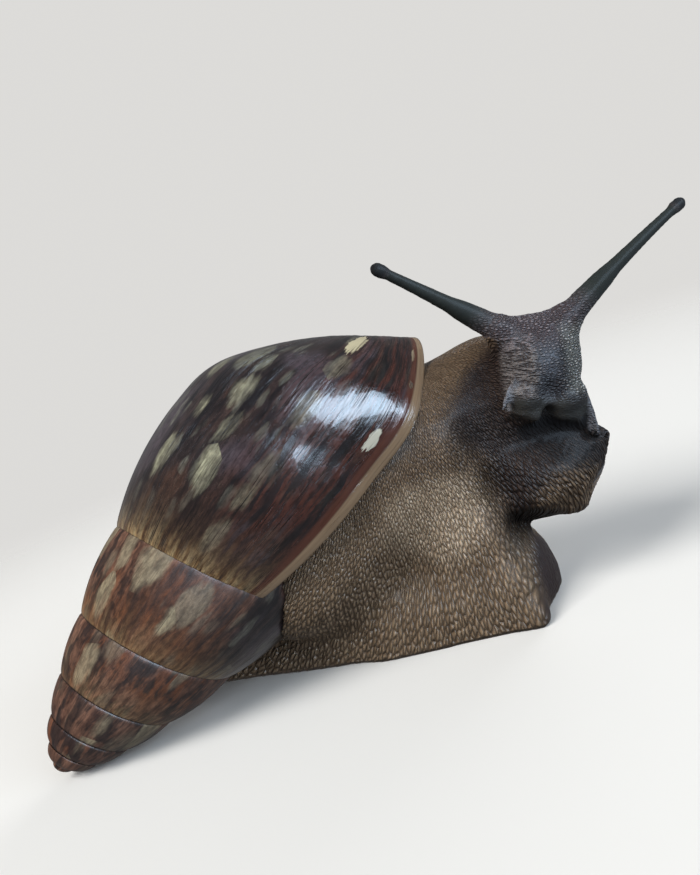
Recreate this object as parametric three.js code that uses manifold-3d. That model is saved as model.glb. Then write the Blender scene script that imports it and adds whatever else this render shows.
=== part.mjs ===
// Giant African land snail, still, life size, resting on its foot.
// Millimetres, +Z up, +X towards the head. The origin is on the flat of the sole, at the floor.
// The shell is a right-handed spiral. The flesh is one smooth body, parted by thin cuts into its
// named pieces, with a mantle collar that fills the mouth of the shell.

import * as THREE from 'three';
import { mergeVertices } from 'three/addons/utils/BufferGeometryUtils.js';
import Module from 'manifold-3d';

const wasm = await Module();
wasm.setup();

// ---------------------------------------------------------------- driving sizes

const GAP = 0.3;

// Shell: where its tip lies, how its axis leans, and how it grows. Growth is counted in turns,
// 0 at the lip and negative towards the tip.
const SHELL_TIP = new THREE.Vector3(-81, -53.3, 4.7);
const SHELL_LEAN = THREE.MathUtils.degToRad(30.9);
const SHELL_HEADING = THREE.MathUtils.degToRad(31.8);
const LIP_ANGLE = THREE.MathUtils.degToRad(-69.2);
const SHELL_TURNS = 5.75;
const STEPS_PER_TURN = 32;
const GROWTH_RATE = 0.439;
const GROWTH_SLOWING = 0.015;
const SUTURE_RADIUS = 30.9;
const SUTURE_HEIGHT = 80.2;
const SPREAD_RATE = 0.25;
const SPREAD_SLOWING = 0.011;
const TIP_RADIUS_LOSS = 5.1;
const TIP_HEIGHT_LOSS = 5;
const TIP_LOSS_TURNS = 1.5;
const WHORL_BULGE = 0.055;
const SHOULDER = new THREE.Vector2(37.6, 145.2);
const BASE = new THREE.Vector2(14.9, 165);
const COLUMELLA_TOP = 101;
const LIP_THICKNESS = 1.8;
const MOUTH_DEPTH = 4;
const MOUTH_LOW_END = 7;
const MOUTH_HIGH_END = 14;

// Foot, body and neck. The sole lies on the floor, z = 0.
const FOOT_HALF_WIDTH = 21.5;
const FOOT_FRONT = 60;
const TAIL_END = -88;
const TAIL_SIDE = 9;
const FOOT_FRONT_HEIGHT = 15;
const NECK_RADIUS = 17.5;
const THROAT_RADIUS = 17;
const THROAT_CENTRE = new THREE.Vector3(68.5, 2, 38);

// Head: its centre, and how it is turned to the right, nodded down and tipped to its left.
const HEAD_CENTRE = new THREE.Vector3(77.6, -5, 65.2);
const HEAD_TURN = THREE.MathUtils.degToRad(-64.5);
const HEAD_NOD = THREE.MathUtils.degToRad(8.3);
const HEAD_TIP = THREE.MathUtils.degToRad(-12.6);
const HEAD_HALF_WIDTH = 9.6;
const LIP_LOBE = 5.5;

// Tentacles: a long pair that carry the eyes, and a short pair of feelers beside the mouth.
const STALK_RADIUS = 1.45;
const STALK_FLARE = 2.2;
const BULB_RADIUS = 1.9;
const EYE_RADIUS = 1.3;
const FEELER_RADIUS = 1;

// Cells of the grid that the flesh is shaped on.
const BODY_CELL = 4.7;
const HEAD_CELL = 2.4;

// ---------------------------------------------------------------- solids and joins

function solidFrom(geometry) {
  const bare = geometry.clone();
  bare.deleteAttribute('normal');
  bare.deleteAttribute('uv');
  const merged = mergeVertices(bare, 1e-4);
  return new wasm.Manifold(new wasm.Mesh({
    numProp: 3,
    vertProperties: new Float32Array(merged.attributes.position.array),
    triVerts: new Uint32Array(merged.index.array),
  }));
}

function geometryFrom(solid) {
  const mesh = solid.getMesh();
  const geometry = new THREE.BufferGeometry();
  geometry.setAttribute('position', new THREE.BufferAttribute(new Float32Array(mesh.vertProperties), 3));
  geometry.setIndex(new THREE.BufferAttribute(new Uint32Array(mesh.triVerts), 1));
  return geometry;
}

// A large block that fills the side of a plane that its normal points to.
function halfSpace(point, normal, shift = 0) {
  const size = 600;
  const block = new THREE.BoxGeometry(size, size, size);
  const unit = normal.clone().normalize();
  const turn = new THREE.Quaternion().setFromUnitVectors(new THREE.Vector3(0, 0, 1), unit);
  const centre = point.clone().addScaledVector(unit, size / 2 + shift);
  block.applyMatrix4(new THREE.Matrix4().compose(centre, turn, new THREE.Vector3(1, 1, 1)));
  return solidFrom(block);
}

// ---------------------------------------------------------------- shell

function growth(n) {
  return Math.exp(GROWTH_RATE * n - GROWTH_SLOWING * n * n);
}

function suture(n) {
  const spread = Math.exp(SPREAD_RATE * n - SPREAD_SLOWING * n * n);
  const tipLoss = TIP_RADIUS_LOSS * Math.exp(-(n + SHELL_TURNS) / TIP_LOSS_TURNS);
  return new THREE.Vector2(SUTURE_RADIUS * spread - tipLoss, SUTURE_HEIGHT * growth(n) - TIP_HEIGHT_LOSS);
}

// The outline of one whorl in the half-plane through the axis: from the suture it leaves, over
// its bulge, to the suture that the next whorl would leave, and round the base to the axis.
const BAND_SPLITS = [2, 2];
const BASE_SPLITS = [3, 4, 3];

function whorlOutline(n, proud) {
  const start = suture(n);
  const end = suture(n + 1);
  const along = end.clone().sub(start);
  const out = new THREE.Vector2(along.y, -along.x).normalize();
  const bulge = start.clone().addScaledVector(along, 0.5);
  bulge.addScaledVector(out, WHORL_BULGE * along.length());
  const size = growth(n);
  const shoulder = new THREE.Vector2(SHOULDER.x * size, SHOULDER.y * size - TIP_HEIGHT_LOSS);
  const base = new THREE.Vector2(BASE.x * size, BASE.y * size - TIP_HEIGHT_LOSS);
  start.x += proud;
  bulge.addScaledVector(out, proud);
  end.x += proud;
  shoulder.x += proud;
  shoulder.y += proud / 2;
  base.y += proud;
  const knots = [start, bulge, end, shoulder, base, new THREE.Vector2(0, COLUMELLA_TOP + proud)];
  const knotsInSpace = knots.map((k) => new THREE.Vector3(k.x, k.y, 0));
  const curve = new THREE.CatmullRomCurve3(knotsInSpace, false, 'centripetal');
  const points = [];
  [...BAND_SPLITS, ...BASE_SPLITS].forEach((splits, span) => {
    for (let i = 0; i < splits; i += 1) {
      points.push(curve.getPoint((span + i / splits) / (knots.length - 1)));
    }
  });
  points.push(knots[knots.length - 1]);
  return points.map((p) => new THREE.Vector2(p.x, p.y));
}

// The spiral surface, closed by a flat face across the mouth. Whorls before the last one show
// only their band, whose far edge is the next whorl's suture.
function shellGeometry(proud = 0, extraTurn = 0) {
  const bandCount = BAND_SPLITS.reduce((a, b) => a + b, 0);
  const fullCount = bandCount + BASE_SPLITS.reduce((a, b) => a + b, 0);
  const firstFull = Math.round((SHELL_TURNS - 1) * STEPS_PER_TURN);
  const lastStep = Math.round(SHELL_TURNS * STEPS_PER_TURN);
  const vertices = [];
  const index = [];
  const rows = [];
  const put = (p, angle) => {
    vertices.push(p.x * Math.cos(angle), p.x * Math.sin(angle), p.y);
    return vertices.length / 3 - 1;
  };
  const axisEnd = put(new THREE.Vector2(0, COLUMELLA_TOP + proud), 0);
  for (let step = 0; step <= lastStep; step += 1) {
    const n = step / STEPS_PER_TURN - SHELL_TURNS + (step === lastStep ? extraTurn : 0);
    const angle = LIP_ANGLE + 2 * Math.PI * n;
    const outline = whorlOutline(n, step === 0 ? 0 : proud);
    const count = step < firstFull ? bandCount : fullCount;
    const row = [];
    for (let i = 0; i < count; i += 1) {
      row.push(step < firstFull + 1 && i === bandCount ? -1 : put(outline[i], angle));
    }
    if (step >= firstFull) {
      row.push(axisEnd);
    }
    rows.push(row);
  }
  for (let step = 0; step + STEPS_PER_TURN <= lastStep; step += 1) {
    rows[step][bandCount] = rows[step + STEPS_PER_TURN][0];
  }
  const tri = (a, b, c) => {
    if (a !== b && b !== c && a !== c) {
      index.push(a, b, c);
    }
  };
  for (let step = 0; step < lastStep; step += 1) {
    const count = step < firstFull ? bandCount : fullCount;
    for (let i = 0; i < count; i += 1) {
      const a = rows[step][i];
      const b = rows[step + 1][i];
      const c = rows[step + 1][i + 1];
      const d = rows[step][i + 1];
      tri(a, b, c);
      tri(a, c, d);
    }
  }
  const tipLoop = [];
  for (let step = 1; step <= STEPS_PER_TURN; step += 1) {
    tipLoop.push(rows[step][0]);
  }
  for (let i = bandCount - 1; i > 0; i -= 1) {
    tipLoop.push(rows[0][i]);
  }
  for (let i = 0; i + 1 < tipLoop.length; i += 1) {
    tri(rows[0][0], tipLoop[i + 1], tipLoop[i]);
  }
  const lip = rows[lastStep];
  const wall = rows[firstFull].slice(bandCount + 1, fullCount).reverse();
  const mouth = [...lip, ...wall];
  const flat = mouth.map((id) => {
    const [x, y, z] = vertices.slice(3 * id, 3 * id + 3);
    return new THREE.Vector2(Math.hypot(x, y), z);
  });
  const faces = THREE.ShapeUtils.triangulateShape(flat, []);
  faces.forEach(([a, b, c]) => tri(mouth[a], mouth[c], mouth[b]));
  const geometry = new THREE.BufferGeometry();
  geometry.setAttribute('position', new THREE.Float32BufferAttribute(vertices, 3));
  geometry.setIndex(index);
  return { geometry, outline: flat };
}

const shellPlace = new THREE.Matrix4().compose(
  SHELL_TIP,
  new THREE.Quaternion().setFromEuler(new THREE.Euler(0, Math.PI / 2 - SHELL_LEAN, SHELL_HEADING, 'ZYX')),
  new THREE.Vector3(1, 1, 1),
);

// The mouth's own frame: x away from the axis, y along the axis, z into the shell.
const mouthPlace = shellPlace.clone().multiply(new THREE.Matrix4().makeBasis(
  new THREE.Vector3(Math.cos(LIP_ANGLE), Math.sin(LIP_ANGLE), 0),
  new THREE.Vector3(0, 0, 1),
  new THREE.Vector3(Math.sin(LIP_ANGLE), -Math.cos(LIP_ANGLE), 0),
));

// Distance from the axis where a chain of points crosses a height along it.
function radiusAtHeight(chain, height) {
  for (let i = 0; i + 1 < chain.length; i += 1) {
    const a = chain[i];
    const b = chain[i + 1];
    if ((a.y - height) * (b.y - height) <= 0 && a.y !== b.y) {
      return a.x + (b.x - a.x) * (height - a.y) / (b.y - a.y);
    }
  }
  return 0;
}

// The mouth's opening, drawn in from the lip and from the wall across from it, as a block
// between two depths. Depth counts into the shell.
function mouthBlock(outline, inset, fromDepth, toDepth) {
  const top = outline.reduce((best, p, i) => (p.y > outline[best].y ? i : best), 0);
  const lipSide = outline.slice(0, top + 1);
  const wallSide = [...outline.slice(top), outline[0]];
  const low = outline[0].y + MOUTH_LOW_END;
  const high = outline[top].y - MOUTH_HIGH_END;
  const rows = 12;
  const lipPoints = [];
  const wallPoints = [];
  for (let i = 0; i <= rows; i += 1) {
    const height = low + (high - low) * Math.sin(0.5 * Math.PI * i / rows);
    const outer = radiusAtHeight(lipSide, height) - inset;
    const inner = Math.min(radiusAtHeight(wallSide, height) + inset, outer - 1);
    lipPoints.push(new THREE.Vector2(outer, height));
    wallPoints.unshift(new THREE.Vector2(inner, height));
  }
  const shape = new THREE.Shape([...lipPoints, ...wallPoints]);
  const depth = toDepth - fromDepth;
  const block = new THREE.ExtrudeGeometry(shape, { depth, bevelEnabled: false, steps: 1 });
  block.translate(0, 0, fromDepth);
  block.applyMatrix4(mouthPlace);
  return solidFrom(block);
}

// The shell with its recessed mouth, the slightly larger room that the flesh is kept out of, and
// the mantle collar in the recess.
const ROOM_PROUD = 1.3 * GAP;
const ROOM_TURN = 0.0015;
const plainShell = shellGeometry();
const clearShell = shellGeometry(ROOM_PROUD, ROOM_TURN);
plainShell.geometry.applyMatrix4(shellPlace);
clearShell.geometry.applyMatrix4(shellPlace);
const recess = mouthBlock(plainShell.outline, LIP_THICKNESS, -1, MOUTH_DEPTH);
const shellSolid = solidFrom(plainShell.geometry).subtract(recess);
const shellRoom = solidFrom(clearShell.geometry);
const collarSolid = mouthBlock(plainShell.outline, LIP_THICKNESS + GAP, 0, MOUTH_DEPTH - GAP);

// ---------------------------------------------------------------- flesh

// Signed distances: negative inside.
function ellipsoid(centre, radii, yaw = 0, tilt = 0) {
  const turn = new THREE.Quaternion().setFromEuler(new THREE.Euler(
    0,
    THREE.MathUtils.degToRad(-tilt),
    THREE.MathUtils.degToRad(yaw),
    'ZYX',
  )).invert();
  return (p) => {
    const q = p.clone().sub(centre).applyQuaternion(turn);
    const near = Math.hypot(q.x / radii.x, q.y / radii.y, q.z / radii.z);
    const slope = Math.hypot(q.x / radii.x ** 2, q.y / radii.y ** 2, q.z / radii.z ** 2);
    return slope < 1e-6 ? -Math.min(radii.x, radii.y, radii.z) : near * (near - 1) / slope;
  };
}

function taperedLimb(from, to, fromRadius, toRadius) {
  const run = to.clone().sub(from);
  return (p) => {
    const t = THREE.MathUtils.clamp(p.clone().sub(from).dot(run) / run.lengthSq(), 0, 1);
    return p.distanceTo(from.clone().addScaledVector(run, t)) - (fromRadius + (toRadius - fromRadius) * t);
  };
}

function roundedBlock(centre, halfSize, radius) {
  return (p) => {
    const q = p.clone().sub(centre);
    const past = new THREE.Vector3(
      Math.abs(q.x) - halfSize.x + radius,
      Math.abs(q.y) - halfSize.y + radius,
      Math.abs(q.z) - halfSize.z + radius,
    );
    const inside = Math.min(Math.max(past.x, past.y, past.z), 0);
    return past.max(new THREE.Vector3()).length() + inside - radius;
  };
}

function blend(a, b, width) {
  const h = Math.max(width - Math.abs(a - b), 0) / width;
  return Math.min(a, b) - h * h * width / 4;
}

const at = (x, y, z) => new THREE.Vector3(x, y, z);

// The head's own frame: x to the animal's left, y to its crown, z out of its face.
const headPlace = new THREE.Matrix4().compose(
  HEAD_CENTRE,
  new THREE.Quaternion().setFromEuler(new THREE.Euler(HEAD_TIP, HEAD_NOD, HEAD_TURN, 'ZYX')),
  new THREE.Vector3(1, 1, 1),
).multiply(new THREE.Matrix4().makeBasis(at(0, 1, 0), at(0, 0, 1), at(1, 0, 0)));
const onHead = (x, y, z) => at(x, y, z).applyMatrix4(headPlace);

// The forms that flow together into the flesh, each with the width of its blend into the ones
// before it. First the foot: tail, rear, sole margin, middle and blunt front.
const tailLength = 38;
const footLength = FOOT_FRONT - TAIL_END;
const footMiddle = TAIL_END + 0.5 * footLength;
const footForms = [
  [0, ellipsoid(at(TAIL_END + tailLength, TAIL_SIDE, 0), at(tailLength, 15, 10))],
  [14, ellipsoid(at(-18, 7, 0), at(46, 20, 17))],
  [5, ellipsoid(at(footMiddle + 1, 5, 1), at(0.49 * footLength, 20, 7))],
  [14, ellipsoid(at(14, 3, 4), at(42, FOOT_HALF_WIDTH, 24))],
  [8, roundedBlock(at(FOOT_FRONT - 26, 0, 2), at(26, FOOT_HALF_WIDTH, FOOT_FRONT_HEIGHT - 2), 8)],
];

// The body: two swellings under the mouth of the shell, the pillar over the front of the foot,
// the neck in two lengths, and the throat.
const neckStart = at(26, -4, 55);
const neckBend = at(46, 3, 54);
const neckEnd = at(63, 6, 60);
const bodyForms = [
  [14, ellipsoid(at(16, -8, 44), at(34, 20, 22), 20, 20)],
  [12, ellipsoid(at(0, -18, 30), at(22, 16, 14), 25, 25)],
  [12, ellipsoid(at(45, -1, 26), at(15, NECK_RADIUS, 26))],
  [12, taperedLimb(neckStart, neckBend, NECK_RADIUS + 1.5, NECK_RADIUS)],
  [10, taperedLimb(neckBend, neckEnd, NECK_RADIUS, NECK_RADIUS - 2.5)],
  [6, ellipsoid(THROAT_CENTRE, at(THROAT_RADIUS + 1.5, THROAT_RADIUS, THROAT_RADIUS - 1))],
];

// The head: nape, skull, snout, the two roots of the long tentacles, and the two lip lobes.
const headForms = [
  [7, taperedLimb(neckEnd, HEAD_CENTRE, NECK_RADIUS - 2.5, HEAD_HALF_WIDTH - 0.6)],
  [4, ellipsoid(onHead(0, 2, -2), at(HEAD_HALF_WIDTH, 10, 11))],
  [3, ellipsoid(onHead(0, -5, 0), at(HEAD_HALF_WIDTH, 9, 9))],
  [4, taperedLimb(onHead(-3, 6, -2), onHead(-10.5, 12, 0), 6.6, 3.9)],
  [4, taperedLimb(onHead(3, 6, -2), onHead(10.5, 12.5, -1), 6.6, 3.9)],
  [2, ellipsoid(onHead(-5.4, -10.6, 3.5), at(LIP_LOBE, LIP_LOBE, LIP_LOBE - 0.5))],
  [2, ellipsoid(onHead(5.4, -11.2, 3.5), at(LIP_LOBE, LIP_LOBE, LIP_LOBE - 0.5))],
];
const fleshForms = [...footForms, ...bodyForms, ...headForms];

function fleshDistance(p) {
  return fleshForms.reduce(
    (sum, [width, form]) => (width === 0 ? form(p) : blend(sum, form(p), width)),
    Infinity,
  );
}

// A closed surface where a distance equals a level, with one corner in each grid cell that it
// passes through. The corner is then drawn onto the surface along the slope.
function surfaceOf(distance, low, high, cell, level = 0) {
  const count = high.clone().sub(low).divideScalar(cell).ceil();
  const [nx, ny, nz] = [count.x + 1, count.y + 1, count.z + 1];
  const place = (i, j, k) => low.clone().add(at(i * cell, j * cell, k * cell));
  const values = new Float64Array(nx * ny * nz);
  const slot = (i, j, k) => i + nx * (j + ny * k);
  const valueAt = (p) => {
    const past = Math.max(low.x - p.x, low.y - p.y, low.z - p.z, p.x - high.x, p.y - high.y, p.z - high.z);
    return Math.max(distance(p) - level, past + 1.01 * cell);
  };
  for (let k = 0; k < nz; k += 1) {
    for (let j = 0; j < ny; j += 1) {
      for (let i = 0; i < nx; i += 1) {
        values[slot(i, j, k)] = valueAt(place(i, j, k));
      }
    }
  }
  const corners = [];
  const cornerOf = new Map();
  const step = 0.02;
  const slopeAt = (p) => at(
    valueAt(p.clone().add(at(step, 0, 0))) - valueAt(p.clone().sub(at(step, 0, 0))),
    valueAt(p.clone().add(at(0, step, 0))) - valueAt(p.clone().sub(at(0, step, 0))),
    valueAt(p.clone().add(at(0, 0, step))) - valueAt(p.clone().sub(at(0, 0, step))),
  ).divideScalar(2 * step);
  for (let k = 0; k + 1 < nz; k += 1) {
    for (let j = 0; j + 1 < ny; j += 1) {
      for (let i = 0; i + 1 < nx; i += 1) {
        const sum = at(0, 0, 0);
        let crossings = 0;
        for (let e = 0; e < 12; e += 1) {
          const axis = e % 3;
          const u = (e / 3 | 0) % 2;
          const v = (e / 6 | 0) % 2;
          const offset = [[0, u, v], [u, 0, v], [u, v, 0]][axis];
          const a = [i + offset[0], j + offset[1], k + offset[2]];
          const b = a.map((x, n) => x + (n === axis ? 1 : 0));
          const va = values[slot(...a)];
          const vb = values[slot(...b)];
          if ((va < 0) !== (vb < 0)) {
            sum.add(place(...a).lerp(place(...b), va / (va - vb)));
            crossings += 1;
          }
        }
        if (crossings) {
          const p = sum.divideScalar(crossings);
          for (let pass = 0; pass < 2; pass += 1) {
            const slope = slopeAt(p);
            p.addScaledVector(slope, -valueAt(p) / Math.max(slope.lengthSq(), 0.25));
          }
          cornerOf.set(slot(i, j, k), corners.length / 3);
          corners.push(p.x, p.y, p.z);
        }
      }
    }
  }
  const index = [];
  for (let k = 1; k + 1 < nz; k += 1) {
    for (let j = 1; j + 1 < ny; j += 1) {
      for (let i = 1; i + 1 < nx; i += 1) {
        const inside = values[slot(i, j, k)] < 0;
        const sides = [
          [slot(i + 1, j, k), [[0, -1, -1], [0, 0, -1], [0, 0, 0], [0, -1, 0]]],
          [slot(i, j + 1, k), [[-1, 0, -1], [-1, 0, 0], [0, 0, 0], [0, 0, -1]]],
          [slot(i, j, k + 1), [[-1, -1, 0], [0, -1, 0], [0, 0, 0], [-1, 0, 0]]],
        ];
        sides.forEach(([next, around]) => {
          if (inside !== values[next] < 0) {
            const q = around.map(([a, b, c]) => cornerOf.get(slot(i + a, j + b, k + c)));
            const ring = inside ? q : [...q].reverse();
            index.push(ring[0], ring[1], ring[2], ring[0], ring[2], ring[3]);
          }
        });
      }
    }
  }
  const geometry = new THREE.BufferGeometry();
  geometry.setAttribute('position', new THREE.Float32BufferAttribute(corners, 3));
  geometry.setIndex(index);
  return solidFrom(geometry);
}

const floorUp = halfSpace(at(0, 0, 0), at(0, 0, 1));
const bodySolid = surfaceOf(fleshDistance, at(-100, -50, -12), at(100, 50, 96), BODY_CELL)
  .intersect(floorUp)
  .subtract(shellRoom);
const headLow = at(46, -30, 30);
const headHigh = at(106, 34, 100);
const headWhole = surfaceOf(fleshDistance, headLow, headHigh, HEAD_CELL).subtract(shellRoom);

// Planes that part the flesh: a point on each, and the way it faces.
const HEAD_CUT = [at(64, 8, 78), at(0.68, -0.43, 0.6)];
const NECK_CUT = [at(50, 0, 40), at(0.9, 0, 0.45)];
const FOOT_CUT = [at(0, 0, 19.5), at(0, 0, 1)];
const TAIL_CUT = [at(-36, 0, 0), at(1, 0, 0)];
const FRONT_CUT = [at(24, 0, 0), at(1, 0, 0)];

function beyond([point, normal]) {
  return halfSpace(point, normal, GAP / 2);
}

function before([point, normal]) {
  return halfSpace(point, normal.clone().negate(), GAP / 2);
}

const bodyOnly = bodySolid.intersect(before(HEAD_CUT));
const upper = bodyOnly.intersect(beyond(FOOT_CUT));
const lower = bodyOnly.intersect(before(FOOT_CUT));
const fleshPieces = {
  head: headWhole.intersect(beyond(HEAD_CUT)),
  neck: upper.intersect(beyond(NECK_CUT)),
  trunk: upper.intersect(before(NECK_CUT)),
  foot_front: lower.intersect(beyond(FRONT_CUT)),
  foot_middle: lower.intersect(before(FRONT_CUT)).intersect(beyond(TAIL_CUT)),
  tail: lower.intersect(before(TAIL_CUT)),
};

// ---------------------------------------------------------------- tentacles and eyes

function taperedTube(curve, radiusAt, rings, sides) {
  const frames = curve.computeFrenetFrames(rings, false);
  const vertices = [];
  const index = [];
  for (let i = 0; i <= rings; i += 1) {
    const centre = curve.getPointAt(i / rings);
    for (let j = 0; j < sides; j += 1) {
      const angle = 2 * Math.PI * j / sides;
      const spoke = frames.normals[i].clone().multiplyScalar(Math.cos(angle));
      spoke.addScaledVector(frames.binormals[i], Math.sin(angle));
      vertices.push(...centre.clone().addScaledVector(spoke, radiusAt(i / rings)).toArray());
    }
  }
  vertices.push(...curve.getPointAt(0).toArray(), ...curve.getPointAt(1).toArray());
  const first = (rings + 1) * sides;
  for (let j = 0; j < sides; j += 1) {
    const k = (j + 1) % sides;
    for (let i = 0; i < rings; i += 1) {
      const [a, b, c, d] = [i * sides + j, i * sides + k, (i + 1) * sides + k, (i + 1) * sides + j];
      index.push(a, b, c, a, c, d);
    }
    index.push(first, k, j);
    index.push(first + 1, rings * sides + j, rings * sides + k);
  }
  const geometry = new THREE.BufferGeometry();
  geometry.setAttribute('position', new THREE.Float32BufferAttribute(vertices, 3));
  geometry.setIndex(index);
  return solidFrom(geometry);
}

const headRoom = surfaceOf(fleshDistance, headLow, headHigh, HEAD_CELL, GAP);
// A long tentacle's radius along its length: wide at the head, slender, then the bulb that
// carries the eye.
const BULB_START = 0.91;
const BULB_MIDDLE = 0.955;
const STALK_JOIN = 0.42;
function stalkRadius(t) {
  const stalk = STALK_RADIUS + STALK_FLARE * (1 - t) ** 1.9;
  const fall = (t - BULB_MIDDLE) / (1 - BULB_MIDDLE);
  const bulb = BULB_RADIUS * Math.sqrt(Math.max(1 - fall * fall, 0.3));
  return t > BULB_START ? bulb : stalk;
}

function feelerRadius(t) {
  return FEELER_RADIUS * (1 - 0.55 * t ** 2);
}

const TENTACLES = {
  right: [onHead(-9, 11, -1), onHead(-23, 20.5, 0), onHead(-41.5, 32, 0)],
  left: [onHead(9, 11, -1), onHead(24, 24, -2), onHead(46.5, 37.5, -6)],
};
const FEELERS = {
  right: [onHead(-7, 0, 5), onHead(-11.5, -3, 7.5), onHead(-13, -8.5, 7)],
  left: [onHead(8, -4, 5.5), onHead(11.5, -8.5, 7.5), onHead(12, -17, 9.5)],
};

const eyes = {};
Object.entries(TENTACLES).forEach(([side, points]) => {
  const curve = new THREE.QuadraticBezierCurve3(...points);
  const end = curve.getPointAt(1);
  const way = curve.getTangentAt(1);
  const tube = taperedTube(curve, stalkRadius, 22, 8).subtract(headRoom);
  const eyeCentre = end.clone().addScaledVector(way, -0.5 * EYE_RADIUS);
  const socket = new THREE.IcosahedronGeometry(EYE_RADIUS + GAP, 1).translate(...eyeCentre.toArray());
  const stalk = tube.subtract(solidFrom(socket));
  const join = [curve.getPointAt(STALK_JOIN), curve.getTangentAt(STALK_JOIN)];
  fleshPieces[`tentacle_${side}_base`] = stalk.intersect(before(join));
  fleshPieces[`tentacle_${side}_end`] = stalk.intersect(beyond(join));
  eyes[`eye_${side}`] = new THREE.IcosahedronGeometry(EYE_RADIUS, 1).translate(...eyeCentre.toArray());
});

Object.entries(FEELERS).forEach(([side, points]) => {
  const curve = new THREE.QuadraticBezierCurve3(...points);
  const tube = taperedTube(curve, feelerRadius, 8, 8);
  fleshPieces[`feeler_${side}`] = tube.subtract(headRoom);
});

// ---------------------------------------------------------------- scene graph

const snail = new THREE.Group();

function addPiece(name, geometry, colour, roughness) {
  const material = new THREE.MeshStandardMaterial({ color: colour, roughness, metalness: 0 });
  const mesh = new THREE.Mesh(geometry, material);
  mesh.name = name;
  snail.add(mesh);
}

addPiece('shell', geometryFrom(shellSolid), 0x5a4236, 0.3);
addPiece('mantle_collar', geometryFrom(collarSolid), 0x6b5843, 0.5);
Object.entries(fleshPieces).forEach(([name, solid]) => addPiece(name, geometryFrom(solid), 0x75614a, 0.5));
Object.entries(eyes).forEach(([name, geometry]) => addPiece(name, geometry, 0x101010, 0.15));

export default snail;
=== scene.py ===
"""A giant African land snail, life size, resting on its foot with the body out and the head raised."""
import math

import bmesh
import bpy
import numpy as np
from mathutils import Euler, Matrix, Vector


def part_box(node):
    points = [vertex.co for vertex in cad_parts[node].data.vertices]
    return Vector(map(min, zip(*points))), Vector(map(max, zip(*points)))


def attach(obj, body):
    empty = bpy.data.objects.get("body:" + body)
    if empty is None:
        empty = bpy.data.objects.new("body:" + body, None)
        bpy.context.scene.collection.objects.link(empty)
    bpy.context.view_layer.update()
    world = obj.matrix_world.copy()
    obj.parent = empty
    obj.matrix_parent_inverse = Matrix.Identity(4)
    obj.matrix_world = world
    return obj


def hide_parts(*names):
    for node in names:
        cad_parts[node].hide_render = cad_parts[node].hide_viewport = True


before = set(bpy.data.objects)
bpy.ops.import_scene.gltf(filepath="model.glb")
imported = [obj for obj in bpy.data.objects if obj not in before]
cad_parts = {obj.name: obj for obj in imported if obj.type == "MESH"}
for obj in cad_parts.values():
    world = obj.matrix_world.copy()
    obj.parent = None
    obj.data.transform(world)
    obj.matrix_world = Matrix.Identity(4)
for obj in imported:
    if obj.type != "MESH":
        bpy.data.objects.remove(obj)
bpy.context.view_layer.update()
MM = 0.001

# ---------------------------------------------------------------- camera
# Looks at the snail's right side from a little in front and above, and is rolled to one side,
# so that the floor under the snail runs up to the right.
CAMERA_PLACE = Vector((105, -236, 105.5)) * MM
CAMERA_AZIMUTH = math.radians(20)
CAMERA_ELEVATION = math.radians(10)
CAMERA_ROLL = math.radians(21)
CAMERA_LENS = 35.47

level_right = Vector((math.cos(CAMERA_AZIMUTH), math.sin(CAMERA_AZIMUTH), 0))
back = Vector((
    math.sin(CAMERA_AZIMUTH) * math.cos(CAMERA_ELEVATION),
    -math.cos(CAMERA_AZIMUTH) * math.cos(CAMERA_ELEVATION),
    math.sin(CAMERA_ELEVATION),
))
level_up = back.cross(level_right)
right = level_right * math.cos(CAMERA_ROLL) - level_up * math.sin(CAMERA_ROLL)
up = level_right * math.sin(CAMERA_ROLL) + level_up * math.cos(CAMERA_ROLL)
camera = bpy.data.objects.new("camera", bpy.data.cameras.new("camera"))
camera.data.lens = CAMERA_LENS
camera.data.sensor_width = 36
camera.data.clip_start = 0.01
camera.matrix_world = Matrix.Translation(CAMERA_PLACE) @ Matrix((right, up, back)).transposed().to_4x4()
bpy.context.scene.collection.objects.link(camera)
bpy.context.scene.camera = camera

# ---------------------------------------------------------------- floor and studio light
# A plain pale floor that fades out into a pale surround. A broad softbox hangs above, a weak one
# stands behind, and a cool window stands at the snail's front. The window's own reflection comes
# from a pane that gives no light, and the floor and surround are kept out of the reflections.
FLOOR_COLOUR = (0.80, 0.79, 0.77)
FLOOR_HALF = 1.0
FLOOR_FADE = 0.20, 0.60
FLOOR_CORNERS = [(x * FLOOR_HALF, y * FLOOR_HALF, 0) for x, y in ((-1, -1), (1, -1), (1, 1), (-1, 1))]
SURROUND_STRENGTH = 0.9
FILL_COLOUR = (0.95, 0.97, 1.0)
FILL_STRENGTH = 0.17


def put(tree, socket, value):
    """Link a socket to a node's output, or set it to a plain value."""
    if isinstance(value, bpy.types.NodeSocket):
        tree.links.new(value, socket)
    elif isinstance(value, Value):
        tree.links.new(value.socket, socket)
    else:
        socket.default_value = value


def add(tree, kind, inputs=None, **settings):
    """A new node with its settings and its inputs, which are named or numbered."""
    node = tree.nodes.new(kind)
    for name, setting in settings.items():
        setattr(node, name, setting)
    for key, value in (inputs or {}).items():
        put(tree, node.inputs[key], value)
    return node


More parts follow.
